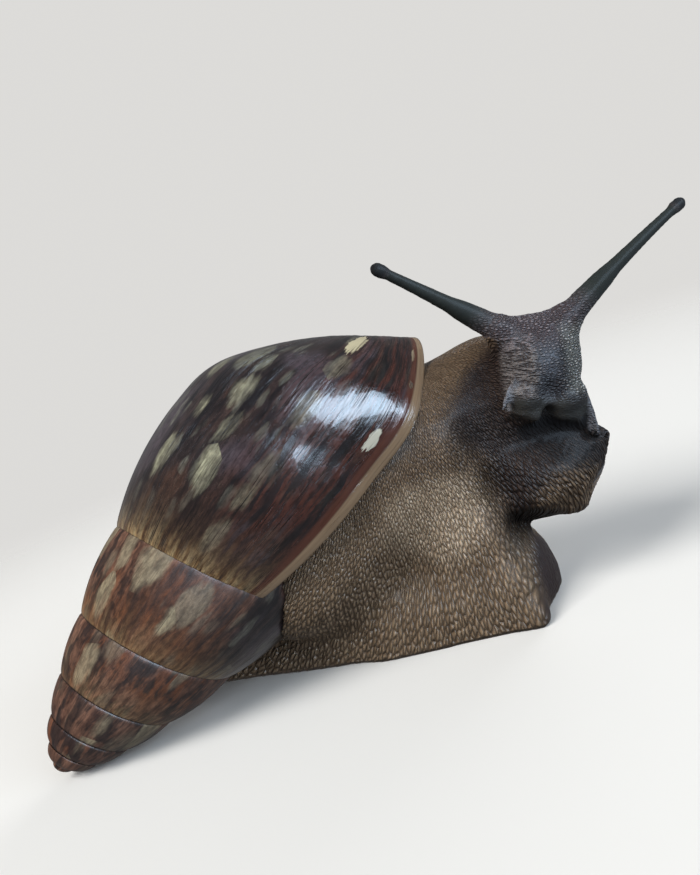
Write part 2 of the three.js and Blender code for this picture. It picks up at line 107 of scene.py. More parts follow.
class Value:
    """A number that varies over a surface, written with plain arithmetic."""

    def __init__(self, tree, socket):
        self.tree, self.socket = tree, socket

    def work(self, operation, *others, clamp=False):
        """One step of arithmetic with this number first."""
        node = add(self.tree, "ShaderNodeMath", operation=operation, use_clamp=clamp)
        for socket, value in zip(node.inputs, (self, *others)):
            put(self.tree, socket, value)
        return Value(self.tree, node.outputs[0])

    def __add__(self, other):
        return self.work("ADD", other)

    def __sub__(self, other):
        return self.work("SUBTRACT", other)

    def __rsub__(self, other):
        return (self * -1) + other

    def __mul__(self, other):
        return self.work("MULTIPLY", other)

    def __truediv__(self, other):
        return self.work("DIVIDE", other)

    __radd__, __rmul__ = __add__, __mul__

    def held(self):
        """The number kept between 0 and 1."""
        return self.work("ADD", 0.0, clamp=True)

    def ramp(self, low, high, smooth=True):
        """0 below low and 1 above high, or the other way round where low is the higher."""
        node = add(self.tree, "ShaderNodeMapRange", interpolation_type="SMOOTHSTEP" if smooth else "LINEAR")
        for socket, value in zip(node.inputs, (self, low, high, 0.0, 1.0)):
            put(self.tree, socket, value)
        return Value(self.tree, node.outputs[0])


def plain_material(name, colour, roughness):
    """A material of one colour and gloss."""
    made = bpy.data.materials.new(name)
    made.use_nodes = True
    shader = made.node_tree.nodes["Principled BSDF"]
    shader.inputs["Base Color"].default_value = (*colour, 1)
    shader.inputs["Roughness"].default_value = roughness
    return made


floor_mesh = bpy.data.meshes.new("floor")
floor_mesh.from_pydata(FLOOR_CORNERS, [], [(0, 1, 2, 3)])
floor = bpy.data.objects.new("floor", floor_mesh)
bpy.context.scene.collection.objects.link(floor)
floor_stuff = plain_material("floor", FLOOR_COLOUR, 0.9)
tree = floor_stuff.node_tree
shader = tree.nodes["Principled BSDF"]
shader.inputs["Specular IOR Level"].default_value = 0.0
floor_at = add(tree, "ShaderNodeTexCoord").outputs["Object"]
from_snail = add(tree, "ShaderNodeVectorMath", {0: floor_at}, operation="LENGTH").outputs["Value"]
fading = add(tree, "ShaderNodeMixShader", {
    0: Value(tree, from_snail).ramp(*FLOOR_FADE),
    1: shader.outputs[0],
    2: add(tree, "ShaderNodeBsdfTransparent").outputs[0]})
put(tree, tree.nodes["Material Output"].inputs["Surface"], fading.outputs[0])
floor_mesh.materials.append(floor_stuff)
floor.visible_glossy = False
floor.visible_diffuse = False

world = bpy.data.worlds.new("studio")
bpy.context.scene.world = world
world.use_nodes = True
air = world.node_tree
air.nodes.clear()
light_path = add(air, "ShaderNodeLightPath")
seen = add(air, "ShaderNodeBackground", {"Color": (*FLOOR_COLOUR, 1), "Strength": SURROUND_STRENGTH})
fill = add(air, "ShaderNodeBackground", {"Color": (*FILL_COLOUR, 1), "Strength": FILL_STRENGTH})
either = add(air, "ShaderNodeMixShader", {
    0: light_path.outputs["Is Camera Ray"], 1: fill.outputs[0], 2: seen.outputs[0]})
add(air, "ShaderNodeOutputWorld", {"Surface": either.outputs[0]})


def softbox(name, place, target, size, watts, colour, lights=True, mirrored=True):
    """A flat lamp that faces a target. It can be left out of the light, or of the reflections."""
    lamp = bpy.data.lights.new(name, "AREA")
    lamp.shape = "RECTANGLE"
    lamp.size, lamp.size_y = size
    lamp.energy, lamp.color = watts, colour
    held = bpy.data.objects.new(name, lamp)
    held.location = place
    held.rotation_euler = (Vector(target) - Vector(place)).to_track_quat("-Z", "Y").to_euler()
    held.visible_diffuse, held.visible_glossy = lights, mirrored
    bpy.context.scene.collection.objects.link(held)


SNAIL_MIDDLE = (0, 0, 0.05)
SHELL_FRONT = (0.03, -0.03, 0.07)
softbox("overhead", (-0.95, -1.30, 1.75), (0, 0, 0.04), (1.3, 1.3), 54, (1, 0.98, 0.94), mirrored=False)
softbox("far_side", (0.45, 1.50, 0.55), SNAIL_MIDDLE, (1.4, 0.9), 15, (0.96, 0.98, 1), mirrored=False)
softbox("window", (1.52, -0.90, 0.78), SHELL_FRONT, (2.40, 1.12), 28, (0.80, 0.90, 1), mirrored=False)
softbox("window_pane", (0.70, -0.415, 0.382), SHELL_FRONT, (1.12, 0.50), 24, (0.62, 0.80, 1), lights=False)

# ---------------------------------------------------------------- shell
# One right-handed spiral, grown from the tip to the lip: a thin wall of glossy shell under a thin
# brown skin, with fine growth lines, flame-like streaks and worn cream patches.
SHELL_TIP = Vector((-81, -53.3, 4.7)) * MM
SHELL_TURN = (0.0, math.pi / 2 - math.radians(30.9), math.radians(31.8))
SHELL_SIZES = {
    "Turns": 5.75,
    "Lip Angle": math.radians(-69.2),
    "Growth Rate": 0.439,
    "Growth Slowing": 0.015,
    "Suture Radius": 30.9 * MM,
    "Suture Height": 80.2 * MM,
    "Spread Rate": 0.25,
    "Spread Slowing": 0.011,
    "Tip Radius Loss": 5.1 * MM,
    "Tip Height Loss": 5.0 * MM,
    "Tip Loss Turns": 1.5,
    "Whorl Bulge": 0.055,
    "Shoulder Radius": 37.6 * MM,
    "Shoulder Height": 145.2 * MM,
    "Base Radius": 14.9 * MM,
    "Base Height": 165.0 * MM,
    "Columella Top": 101.0 * MM,
    "Wall": 1.0 * MM,
    "Suture Groove": 0.35 * MM,
    "Ridge Height": 0.09 * MM,
}
LAID_RATE = 0.32
LAID_AT_LIP = 770 * MM
LAID_AT_TIP = LAID_AT_LIP * math.exp(-LAID_RATE * 6.75)
LAID_SPAN = LAID_AT_LIP - LAID_AT_TIP
RIM = 2.0 * MM
LINING = 18.0 * MM
BAND, TO_SHOULDER, TO_BASE, TO_AXIS = 43 * MM, 23 * MM, 33 * MM, 62 * MM
BASE_IN, BASE_OUT, DOWN_AXIS = (-17.6 * MM, -5.6 * MM), (-30 * MM, -12 * MM), (0.0, -70 * MM)
ACROSS_SPAN = BAND + TO_SHOULDER + TO_BASE + TO_AXIS
SHELL_ROWS = 1030
SHELL_COLUMNS = 100


def geometry_tree(name, sizes):
    """A Geometry Nodes tree with one named input for each size, its geometry in and its geometry out."""
    tree = bpy.data.node_groups.new(name, "GeometryNodeTree")
    tree.interface.new_socket("Geometry", in_out="INPUT", socket_type="NodeSocketGeometry")
    for label, size in sizes.items():
        tree.interface.new_socket(label, in_out="INPUT", socket_type="NodeSocketFloat").default_value = size
    tree.interface.new_socket("Geometry", in_out="OUTPUT", socket_type="NodeSocketGeometry")
    given = tree.nodes.new("NodeGroupInput")
    values = {label: Value(tree, given.outputs[label]) for label in sizes}
    return tree, given.outputs["Geometry"], values


def close_tree(tree, geometry, material):
    """End a tree with plain geometry in one material."""
    real = add(tree, "GeometryNodeRealizeInstances", {"Geometry": geometry})
    finish = add(tree, "GeometryNodeSetMaterial", {"Geometry": real.outputs[0]})
    finish.inputs["Material"].default_value = material
    add(tree, "NodeGroupOutput", {"Geometry": finish.outputs[0]})


def grown(name, mesh, tree, sizes):
    """The plain mesh that a tree makes of a mesh, with each named input set on the modifier."""
    held = bpy.data.objects.new(name + "_form", mesh)
    bpy.context.scene.collection.objects.link(held)
    modifier = held.modifiers.new("grow", "NODES")
    modifier.node_group = tree
    for item in tree.interface.items_tree:
        if item.in_out == "INPUT" and item.name in sizes:
            modifier[item.identifier] = sizes[item.name]
    graph = bpy.context.evaluated_depsgraph_get()
    made = bpy.data.meshes.new_from_object(
        held.evaluated_get(graph), preserve_all_data_layers=True, depsgraph=graph)
    held.modifiers.clear()
    bpy.data.objects.remove(held)
    made.name = name
    piece = bpy.data.objects.new(name, made)
    bpy.context.scene.collection.objects.link(piece)
    made.polygons.foreach_set("use_smooth", [True] * len(made.polygons))
    return piece


def position_of(tree):
    """Where each point is: three numbers."""
    split = add(tree, "ShaderNodeSeparateXYZ", {0: add(tree, "GeometryNodeInputPosition").outputs[0]})
    return [Value(tree, output) for output in split.outputs]


def store(tree, geometry, name, value):
    """Keep a number at each point under a name."""
    node = add(tree, "GeometryNodeStoreNamedAttribute", data_type="FLOAT", domain="POINT")
    put(tree, node.inputs["Geometry"], geometry)
    node.inputs["Name"].default_value = name
    put(tree, node.inputs["Value"], value)
    return node.outputs[0]


def field(tree, name, kind="FLOAT"):
    """What each point keeps under a name."""
    node = add(tree, "GeometryNodeInputNamedAttribute", data_type=kind)
    node.inputs["Name"].default_value = name
    return node.outputs["Attribute"] if kind != "FLOAT" else Value(tree, node.outputs["Attribute"])


def joined(tree, x, y, z=0.0):
    return add(tree, "ShaderNodeCombineXYZ", {0: x, 1: y, 2: z}).outputs[0]


def noise(tree, vector, scale, detail=2.0, roughness=0.5):
    node = add(tree, "ShaderNodeTexNoise", {
        "Vector": vector, "Scale": scale, "Detail": detail, "Roughness": roughness})
    return Value(tree, node.outputs[0])


shell_tree, _, size = geometry_tree("spiral_shell", SHELL_SIZES)
grid = add(shell_tree, "GeometryNodeMeshGrid", {
    "Size X": 1.0, "Size Y": 1.0, "Vertices X": SHELL_ROWS, "Vertices Y": SHELL_COLUMNS})
grid_x, grid_y, _ = position_of(shell_tree)
way = (grid_x + 0.5) * (LAID_SPAN + RIM + LINING)
over_rim = ((way - LAID_SPAN) / RIM).held() * math.pi
into = (way - (LAID_SPAN + RIM)).work("MAXIMUM", 0.0)
laid = way.work("MINIMUM", LAID_SPAN) + LAID_AT_TIP + over_rim.work("SINE") * size["Wall"] * 0.5 - into
inset = (1.0 - over_rim.work("COSINE")) * size["Wall"] * 0.5
n = (laid / LAID_AT_LIP).work("LOGARITHM", math.e) / LAID_RATE
across = (grid_y + 0.5) * ACROSS_SPAN


def growth(turn):
    return (turn * size["Growth Rate"] - turn * turn * size["Growth Slowing"]).work("EXPONENT")


def suture(turn):
    """Radius and height of the seam that a whorl leaves from."""
    spread = (turn * size["Spread Rate"] - turn * turn * size["Spread Slowing"]).work("EXPONENT")
    loss = ((turn + size["Turns"]) / size["Tip Loss Turns"] * -1).work("EXPONENT")
    radius = (spread * size["Suture Radius"] - loss * size["Tip Radius Loss"]).work("MAXIMUM", 0.0)
    height = growth(turn.work("MAXIMUM", size["Turns"] * -1)) * size["Suture Height"] - size["Tip Height Loss"]
    return radius, height


def smooth_way(start, start_way, end, end_way, t):
    """A smooth curve between two places with a given way out of one and into the other, and its slope."""
    t2, t3 = t * t, t * t * t
    from_end = t2 * 3 - t3 * 2
    out, home = t3 - t2 * 2 + t, t3 - t2
    slope_end = t * 6 - t2 * 6
    slope_out, slope_home = t2 * 3 - t * 4 + 1, t2 * 3 - t * 2
    place = [a * (1 - from_end) + b * from_end + p * out + q * home
             for a, b, p, q in zip(start, end, start_way, end_way)]
    slope = [(b - a) * slope_end + p * slope_out + q * slope_home
             for a, b, p, q in zip(start, end, start_way, end_way)]
    return place, slope


size_now = growth(n)
seam = suture(n)
next_seam = suture(n + 1)
run = [b - a for a, b in zip(seam, next_seam)]
bulge = size["Whorl Bulge"]
early = n.ramp(-3.0, -6.0)
bulge = bulge + early * 0.10
middle = [(seam[0] + next_seam[0]) * 0.5 + run[1] * bulge, (seam[1] + next_seam[1]) * 0.5 - run[0] * bulge]
lip_loss = size["Tip Height Loss"]
shoulder = [size["Shoulder Radius"] * size_now, size["Shoulder Height"] * size_now - lip_loss]
base = [size["Base Radius"] * size_now, size["Base Height"] * size_now - lip_loss]
axis_end = [size_now * 0.0, size["Columella Top"] + size_now * 0.0]
seam_way = [(m - a) * 4 - r for m, a, r in zip(middle, seam, run)]
next_way = [r * 3 - (m - a) * 4 for m, a, r in zip(middle, seam, run)]
t1 = (across / BAND).held()
t2 = ((across - BAND) / TO_SHOULDER).held()
t3 = ((across - (BAND + TO_SHOULDER)) / TO_BASE).held()
t4 = ((across - (BAND + TO_SHOULDER + TO_BASE)) / TO_AXIS).held()
seam_out = [(s - m) * 0.5 for s, m in zip(shoulder, middle)]
shoulder_way = [(b - e) * 0.52 for b, e in zip(base, next_seam)]
base_in, base_out, axis_way = ([size_now * step for step in way] for way in (BASE_IN, BASE_OUT, DOWN_AXIS))
band, band_slope = smooth_way(seam, seam_way, next_seam, next_way, t1)
rise, rise_slope = smooth_way(next_seam, seam_out, shoulder, shoulder_way, t2)
crown, crown_slope = smooth_way(shoulder, shoulder_way, base, base_in, t3)
pillar, pillar_slope = smooth_way(base, base_out, axis_end, axis_way, t4)
outline = [a + (b - e) + (c - s) + (d - f) for a, b, e, c, s, d, f in
           zip(band, rise, next_seam, crown, shoulder, pillar, base)]
on_rise = across.work("GREATER_THAN", BAND)
on_crown = across.work("GREATER_THAN", BAND + TO_SHOULDER)
on_pillar = across.work("GREATER_THAN", BAND + TO_SHOULDER + TO_BASE)
slope = [a + (b - a) * on_rise for a, b in zip(band_slope, rise_slope)]
slope = [a + (b - a) * on_crown for a, b in zip(slope, crown_slope)]
slope = [a + (b - a) * on_pillar for a, b in zip(slope, pillar_slope)]
steep = (slope[0] * slope[0] + slope[1] * slope[1] + 1e-12).work("SQRT")
outward = [slope[1] / steep, slope[0] / steep * -1]
real_across = across * size_now
laid_from_lip = laid - LAID_AT_LIP
ridge_place = joined(shell_tree, laid_from_lip * 420, real_across * 16)
ridges = noise(shell_tree, ridge_place, 1.0, 3.0, 0.6) - 0.5
swell = noise(shell_tree, joined(shell_tree, laid_from_lip * 60, real_across * 25), 1.0, 1.0) - 0.5
groove = (real_across / (-0.9 * MM)).work("EXPONENT") * size["Suture Groove"]
tip_calm = n.ramp(-6.2, -4.0)
lift = (ridges * size["Ridge Height"] * 4 + swell * size["Ridge Height"] * 2.5) * tip_calm
lift = lift - groove * tip_calm - inset
radius = outline[0] + outward[0] * lift
height = outline[1] + outward[1] * lift
angle = n * (2 * math.pi) + size["Lip Angle"]
placed = joined(shell_tree, radius * angle.work("COSINE"), radius * angle.work("SINE"), height)
shell_shape = store(shell_tree, grid.outputs[0], "turn", n)
shell_shape = store(shell_tree, shell_shape, "laid", laid_from_lip)
shell_shape = store(shell_tree, shell_shape, "across", real_across)
shell_shape = store(shell_tree, shell_shape, "inset", inset / size["Wall"])
shell_shape = store(shell_tree, shell_shape, "hidden",
                    across.work("GREATER_THAN", BAND * 1.07) * n.work("LESS_THAN", -1.1))
shell_shape = add(shell_tree, "GeometryNodeSetPosition", {
    "Geometry": shell_shape, "Position": placed}).outputs[0]
buried = field(shell_tree, "hidden").work("GREATER_THAN", 0.5)
shell_shape = add(shell_tree, "GeometryNodeDeleteGeometry", {
    "Geometry": shell_shape, "Selection": buried}, domain="POINT").outputs[0]
shell_shape = add(shell_tree, "GeometryNodeTransform", {
    "Geometry": shell_shape, "Translation": SHELL_TIP, "Rotation": SHELL_TURN}).outputs[0]


def attribute(tree, name):
    return Value(tree, add(tree, "ShaderNodeAttribute", attribute_name=name).outputs["Fac"])


def mixed(tree, amount, one, other, blend="MIX"):
    """One colour at 0 and the other at 1."""
    node = add(tree, "ShaderNodeMix", data_type="RGBA", blend_type=blend)
    put(tree, node.inputs[0], amount)
    for number, colour in ((6, one), (7, other)):
        put(tree, node.inputs[number], (*colour, 1) if isinstance(colour, tuple) else colour)
    return node.outputs[2]


def bumped(tree, height, distance, strength=1.0, normal=None):
    node = add(tree, "ShaderNodeBump", {"Height": height, "Distance": distance, "Strength": strength})
    if normal is not None:
        put(tree, node.inputs["Normal"], normal)
    return node.outputs[0]


# The shell's own coordinates, in metres: back from the lip, and out from the suture.
shell_stuff = bpy.data.materials.new("shell")
shell_stuff.use_nodes = True
tree = shell_stuff.node_tree
shader = tree.nodes["Principled BSDF"]
plain_laid, across_at = attribute(tree, "laid"), attribute(tree, "across")
turn_at, inside = attribute(tree, "turn"), attribute(tree, "inset")
wander = noise(tree, joined(tree, plain_laid * 60, across_at * 60), 1.0, 2.0) - 0.5
laid_at = plain_laid + wander * 0.005
streaks = noise(tree, joined(tree, laid_at * 330, across_at * 30), 1.0, 4.0, 0.65)
fine_lines = noise(tree, joined(tree, plain_laid * 1700, across_at * 40), 1.0, 3.0, 0.7)
broad = noise(tree, joined(tree, laid_at * 55, across_at * 40, 9.0), 1.0, 2.0, 0.5)
mottles = noise(tree, joined(tree, laid_at * 420, across_at * 210, 21.0), 1.0, 4.0, 0.65)
flakes = noise(tree, joined(tree, plain_laid * 900, across_at * 330, 31.0), 1.0, 4.0, 0.7)
spire = turn_at.ramp(-0.98, -1.02)
old_spire = turn_at.ramp(-1.9, -2.6)
nearer_lip = turn_at.ramp(-1.30, -1.02) * spire
young = plain_laid.ramp(-0.040, -0.016)
low_side_shade = across_at.ramp(0.030, 0.008) * plain_laid.ramp(-0.095, -0.045)


def blobs(tree, laid, across, per_laid, per_across, size, edge, seed):
    """Scattered long spots, drawn out along the growth lines, with soft uneven edges."""
    uneven = noise(tree, joined(tree, laid * 420, across * 110, seed), 1.0, 3.0, 0.6) - 0.5
    spots = add(tree, "ShaderNodeTexVoronoi", {
        "Vector": joined(tree, laid * per_laid, across * per_across, seed),
        "Scale": 1.0, "Randomness": 0.85}, feature="F1")
    tone = add(tree, "ShaderNodeSeparateColor", {0: spots.outputs["Color"]})
    reach = Value(tree, spots.outputs["Distance"]) + uneven * 0.5 + Value(tree, tone.outputs[2]) * 0.26
    chosen = Value(tree, tone.outputs[0]).work("GREATER_THAN", 0.22)
    return reach.ramp(size, size - edge) * chosen, Value(tree, tone.outputs[1])


flecks, fleck_tone = blobs(tree, laid_at, across_at, 140, 70, 0.62, 0.22, 3.0)
small_flecks, _ = blobs(tree, laid_at, across_at, 300, 110, 0.52, 0.24, 7.0)

# The last whorl is nearly black, with purple-brown streaks and grey-green flecks.
colour = mixed(tree, streaks.ramp(0.40, 0.60), (0.008, 0.006, 0.008), (0.034, 0.022, 0.021))
purple = mixed(tree, streaks, (0.024, 0.019, 0.025), (0.095, 0.072, 0.085))
colour = mixed(tree, broad.ramp(0.50, 0.36), colour, purple)
colour = mixed(tree, broad.ramp(0.56, 0.70) * streaks.ramp(0.42, 0.58), colour, (0.060, 0.028, 0.019))
colour = mixed(tree, young * streaks.ramp(0.40, 0.60), colour, (0.072, 0.021, 0.014))
fleck_shade = mixed(tree, fleck_tone, (0.125, 0.127, 0.100), (0.35, 0.345, 0.235))
fleck_dim = mixed(tree, 0.5, fleck_shade, (0.04, 0.03, 0.028))
fleck_shade = mixed(tree, streaks.ramp(0.42, 0.58), fleck_dim, fleck_shade)
fleck_dim = mixed(tree, 0.30, fleck_shade, (0.055, 0.045, 0.04))
fleck_shade = mixed(tree, mottles.ramp(0.40, 0.60), fleck_dim, fleck_shade)
on_whorl = (1 - young * 0.85) * (fine_lines.ramp(0.34, 0.52) * 0.3 + 0.7)
colour = mixed(tree, flecks * on_whorl * 0.9, colour, fleck_shade)
colour = mixed(tree, small_flecks * on_whorl * 0.55, colour, (0.15, 0.148, 0.120))
# Painted shade: the last whorl is darkened along its suture over the stretch nearest the lip, less so on the
# flecks.
colour = mixed(tree, low_side_shade * 0.7 * (1 - flecks * 0.6), colour, (0.020, 0.010, 0.008))

# The spire is red-brown, with dark stripes and pale flecks.
tan_by = streaks.ramp(0.38, 0.60) * 0.5 + mottles.ramp(0.38, 0.62) * 0.5
tan = mixed(tree, tan_by, (0.044, 0.017, 0.010), (0.215, 0.108, 0.069))
tan = mixed(tree, broad.ramp(0.50, 0.62) * streaks.ramp(0.35, 0.6), tan, (0.135, 0.040, 0.012))
dark_marks = noise(tree, joined(tree, laid_at * 230, across_at * 110, 2.0), 1.0, 3.0, 0.6)
tan = mixed(tree, dark_marks.ramp(0.48, 0.58) * 0.85, tan, (0.018, 0.010, 0.009))
stripes = noise(tree, joined(tree, laid_at * 300, across_at * 48, 17.0), 1.0, 3.0, 0.6)
tan = mixed(tree, stripes.ramp(0.52, 0.60) * 0.75, tan, (0.024, 0.013, 0.010))
tan_fleck = mixed(tree, fleck_tone, (0.13, 0.088, 0.062), (0.30, 0.255, 0.165))
tan = mixed(tree, flecks * (0.55 + streaks.ramp(0.40, 0.56) * 0.35), tan, tan_fleck)
tan_dim = mixed(tree, streaks.ramp(0.35, 0.6), (0.024, 0.011, 0.007), (0.115, 0.038, 0.012))
tan = mixed(tree, nearer_lip * (1 - flecks) * 0.75, tan, tan_dim)
colour = mixed(tree, spire, colour, tan)

# A yellow-brown band runs beside the suture, and the suture itself is a dark line.
SEAM_BAND = 3.8 * MM
broken = (streaks.ramp(0.32, 0.55) * 0.85 + 0.15) * (mottles.ramp(0.34, 0.56) * 0.5 + 0.5)
near_seam = (across_at / -SEAM_BAND).work("EXPONENT") * broken
seam_colour = mixed(tree, streaks.ramp(0.4, 0.6), (0.36, 0.185, 0.060), (0.50, 0.37, 0.19))
colour = mixed(tree, near_seam * (1 - old_spire) * (0.9 - spire * 0.4), colour, seam_colour)
grain = mixed(tree, flakes.ramp(0.34, 0.66), (0.62, 0.60, 0.60), (1.28, 1.28, 1.28))
colour = mixed(tree, 1.0, colour, grain, "MULTIPLY")
colour = mixed(tree, fine_lines.ramp(0.42, 0.30) * 0.6, colour, (0.012, 0.008, 0.008))
colour = mixed(tree, across_at.ramp(0.7 * MM, 0.2 * MM), colour, (0.012, 0.008, 0.006))


def patch(tree, laid, across, length, width):
    """One worn patch at a distance back from the lip and along it."""
    bend = noise(tree, joined(tree, plain_laid * 330, across_at * 150, 1.0), 1.0, 3.0, 0.65) - 0.5
    fray = noise(tree, joined(tree, plain_laid * 900, across_at * 120, 4.0), 1.0, 3.0, 0.65) - 0.5
    off_laid = (plain_laid - laid) / width + bend * 2.2
    off_across = (across_at - across) / length + fray * 2.0
    return (off_laid * off_laid + off_across * off_across).ramp(1.0, 0.75)


WORN, CHIPPED = (0.62, 0.55, 0.36), (0.72, 0.70, 0.58)
colour = mixed(tree, patch(tree, -28 * MM, 80 * MM, 6 * MM, 3 * MM), colour, WORN)
colour = mixed(tree, patch(tree, -7.5 * MM, 53 * MM, 3.4 * MM, 1.5 * MM), colour, CHIPPED)
colour = mixed(tree, patch(tree, -5 * MM, 84 * MM, 3.2 * MM, 0.8 * MM) * 0.8, colour, WORN)

# Fine cracks near the lip, then the lip's red border and its pale edge, and the bluish inside.
crack_way = noise(tree, joined(tree, plain_laid * 640, across_at * 11, 12.0), 1.0, 2.0, 0.55)
crack_here = noise(tree, joined(tree, plain_laid * 150, across_at * 60, 14.0), 1.0, 2.0, 0.5)
cracks = 1 - (crack_way - 0.5).work("ABSOLUTE").ramp(0.004, 0.018)
cracks = cracks * crack_here.ramp(0.42, 0.56) * plain_laid.ramp(-0.070, -0.045)
colour = mixed(tree, cracks * 0.85, colour, (0.009, 0.006, 0.006))
lip_pale = plain_laid.ramp(-3.4 * MM, -2.6 * MM)
lip_red = plain_laid.ramp(-6.5 * MM, -4.5 * MM) * (1 - lip_pale)
colour = mixed(tree, lip_red * 0.7, colour, (0.13, 0.040, 0.022))
colour = mixed(tree, lip_pale, colour, mixed(tree, fine_lines, (0.22, 0.13, 0.075), (0.40, 0.29, 0.18)))
colour = mixed(tree, inside.ramp(0.55, 0.8), colour, (0.42, 0.40, 0.42))
put(tree, shader.inputs["Base Color"], colour)

# Glossy on the last whorl, duller further back and on the spire.
worn_dull = plain_laid.ramp(-0.030, -0.060)
dull = fine_lines * 0.12 + flakes * 0.10 + worn_dull * 0.16 + spire * 0.20 + 0.06
put(tree, shader.inputs["Roughness"], dull)
shader.inputs["Specular IOR Level"].default_value = 0.6
put(tree, shader.inputs["Coat Weight"], (0.55 - cracks * 0.5) * (1 - spire * 0.85))
shader.inputs["Coat Roughness"].default_value = 0.06
shader.inputs["Coat IOR"].default_value = 1.5
lines_height = fine_lines * 0.5 + flakes * 0.35 + mottles * 0.5 - cracks * 0.8
lines_height = lines_height + noise(tree, joined(tree, plain_laid * 560, across_at * 22, 5.0), 1.0, 2.0, 0.6)
put(tree, shader.inputs["Normal"], bumped(tree, lines_height, 0.3 * MM, 0.7))

close_tree(shell_tree, shell_shape, shell_stuff)
shell = grown("shell_wall", bpy.data.meshes.new("shell_start"), shell_tree, SHELL_SIZES)
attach(shell, "root")
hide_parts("shell")

# ---------------------------------------------------------------- skin
# The soft body is one moist skin from the tail to the tips of the tentacles. It is set in rows of
# raised pebbly bumps that fan out of the shell's mouth, small on the head and coarse on the foot.
FLESH = ("mantle_collar", "head", "neck", "trunk", "foot_front", "foot_middle", "tail",
         "tentacle_right_base", "tentacle_right_end", "tentacle_left_base", "tentacle_left_end",
         "feeler_right", "feeler_left")
TENTACLES = FLESH[7:]
THIN_ENDS = ("tentacle_right_end", "tentacle_left_end", "feeler_right", "feeler_left")
SKIN_CELL = 0.72 * MM
SEAM_FILL = 0.35 * MM
COLLAR_FILL = 1.0 * MM
BULB_RADIUS = 1.75 * MM
BULB_SET_BACK = 0.6 * MM
SKIN_BUMPS = {
    "Row Bump": 0.34 * MM, "Head Bump": 0.16 * MM, "Coarse From": 45 * MM, "Coarse To": 85 * MM}
CELL_BUMP = 1.1 * MM
FINE_BUMP = 0.1 * MM
ROW_ORDER, HEAD_ORDER = 0.75, 0.85
HEAD_BUMPS_PER_MM = (0.8, 1.5, 1.1)
ROW_CENTRE = Vector((24, 0, 88)) * MM
ROWS_PER_RADIAN = 68
BUMPS_PER_FOLD = 31
EVEN_FROM = 80
BACK_HALF = 17.0
HEAD_CENTRE = Vector((77.6, -5, 65.2)) * MM
HEAD_TURN = Euler((math.radians(-12.6), math.radians(8.3), math.radians(-64.5)), "XYZ").to_matrix()
HEAD_AXES = HEAD_TURN @ Matrix(((0, 0, 1), (1, 0, 0), (0, 1, 0)))
# The two lip lobes and the flesh beside them: middle and reach, in the head's frame.
LOBES = (((-6.0, -6.0, 5.2), (4.7, 4.9, 4.8)),
         ((5.2, -8.0, 5.4), (6.4, 4.7, 4.9)),
         ((10.9, -14.6, 4.8), (2.6, 2.7, 2.3)))


def on_body(x, y, z):
    """A place in millimetres in the snail's frame."""
    return Vector((x, y, z)) * MM


def on_head(x, y, z):
    """A place in millimetres in the head's frame: x to its left, y to its crown, z out of its face."""
    return HEAD_CENTRE + HEAD_AXES @ on_body(x, y, z)


def head_way(x, y, z):
    """A direction in the head's frame."""
    return HEAD_AXES @ Vector((x, y, z))


def past_head(points, way):
    """How far each place lies past the head's centre one way, in millimetres."""
    return (points - np.array(HEAD_CENTRE)) @ np.array(way) / MM


def near(points, centre, radius, stretch=None):
    """1 at a centre, falling smoothly to 0 at a radius in millimetres, drawn out along one way."""
    away = points - np.array(centre)
    if stretch is not None:
        along = np.array(stretch[0]) / np.linalg.norm(stretch[0])
        length = away @ along
        away = away - np.outer(length, along) * (1 - 1 / stretch[1])
    d = np.clip(np.linalg.norm(away, axis=1) / (radius * MM), 0, 1)
    return (1 - d * d) ** 2


def rise_between(values, low, high):
    """0 below one value and 1 above the other, smooth between them."""
    t = np.clip((values - low) / (high - low), 0, 1)
    return t * t * (3 - 2 * t)


def within(points, names, margin):
    """1 in the boxes of some nodes, with a margin round each, and 0 outside them."""
    found = np.zeros(len(points))
    for name in names:
        low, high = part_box(name)
        inside_box = (points > np.array(low) - margin) & (points < np.array(high) + margin)
        found = np.maximum(found, np.all(inside_box, axis=1))
    return found


# For each eye: its middle, the way out of its tentacle, and the middle of the bulb that holds it.
eyes = []
for side in ("right", "left"):
    eye_middle = sum(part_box("eye_" + side), Vector()) / 2
    stalk_middle = sum(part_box("tentacle_" + side + "_end"), Vector()) / 2
    out = (eye_middle - stalk_middle).normalized()
    eyes.append((eye_middle, out, eye_middle - out * BULB_SET_BACK))

# The flesh nodes, each a little fuller so that they overlap, with the bulbs and lobes, as one mesh.
flesh_start = bmesh.new()
for name in FLESH:
    part = bmesh.new()
    part.from_mesh(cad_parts[name].data)
    bmesh.ops.remove_doubles(part, verts=part.verts, dist=0.01 * MM)
    bmesh.ops.recalc_face_normals(part, faces=part.faces)
    fill_by = COLLAR_FILL if name == "mantle_collar" else SEAM_FILL
    for vert, normal in [(v, v.normal.copy()) for v in part.verts]:
        vert.co += normal * fill_by
    loose = bpy.data.meshes.new(name + "_part")
    part.to_mesh(loose)
    part.free()
    flesh_start.from_mesh(loose)
    bpy.data.meshes.remove(loose)
for _, _, bulb_middle in eyes:
    bulb = bmesh.ops.create_icosphere(flesh_start, subdivisions=4, radius=BULB_RADIUS)
    bmesh.ops.translate(flesh_start, vec=bulb_middle, verts=bulb["verts"])
for place, reach in LOBES:
    lobe = bmesh.ops.create_icosphere(flesh_start, subdivisions=4, radius=1.0)
    turn = Matrix.Translation(on_head(*place)) @ HEAD_AXES.to_4x4()
    turn = turn @ Matrix.Diagonal(on_body(*reach)).to_4x4()
    bmesh.ops.transform(flesh_start, matrix=turn, verts=lobe["verts"])
flesh_mesh = bpy.data.meshes.new("flesh")
flesh_start.to_mesh(flesh_mesh)
flesh_start.free()
held = bpy.data.objects.new("flesh", flesh_mesh)
bpy.context.scene.collection.objects.link(held)
modifier = held.modifiers.new("join", "REMESH")
modifier.mode = "VOXEL"
modifier.voxel_size = SKIN_CELL
